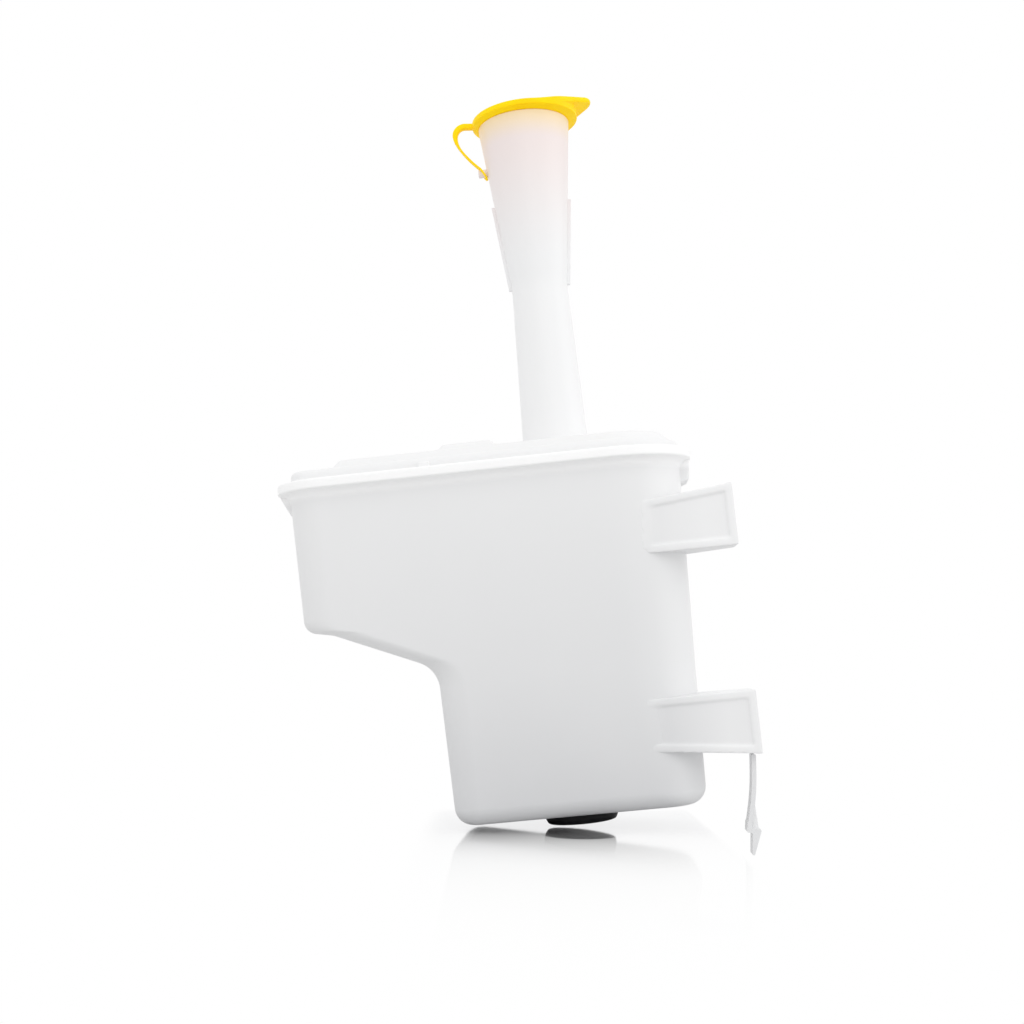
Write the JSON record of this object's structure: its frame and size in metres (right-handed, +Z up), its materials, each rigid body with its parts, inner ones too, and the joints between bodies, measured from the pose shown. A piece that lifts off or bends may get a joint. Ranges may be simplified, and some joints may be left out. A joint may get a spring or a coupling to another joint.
{
  "type": "washer fluid reservoir",
  "caption": "L-shaped translucent washer fluid tank with a welded lid, tall filler funnel, tethered flip cap, bolt-on side brackets, hose strap, base plug and pump seal.",
  "frame": {"origin": "midway between the two bracket bolts, on the brackets' mounting face", "axes": "+X out of the mounting face, +Z up along the filler neck, -Y to the front of the tank"},
  "size_m": [0.269, 0.118, 0.4728],
  "materials": {
    "natural_plastic": "satin, slightly translucent",
    "yellow_plastic": "satin",
    "black_rubber": "matt"
  },
  "bodies": {
    "tank": {"tank_tub": "natural_plastic", "tank_lid": "natural_plastic", "cap_tether": "yellow_plastic", "base_plug": "black_rubber", "pump_seal": "black_rubber"},
    "cap": {"filler_cap": "yellow_plastic"},
    "strap": {"hose_strap": "natural_plastic"}
  },
  "joints": [
    {"name": "cap_flip", "type": "hinge", "parent": "tank", "child": "cap", "pos_m": [-0.144, 0.0332, 0.3212], "axis": [0, -1, 0], "range_deg": [0, 105]},
    {"name": "strap_swing", "type": "hinge", "parent": "tank", "child": "strap", "pos_m": [-0.0048, 0, -0.0801], "axis": [0, -1, 0], "range_deg": [-25, 100]}
  ]
}
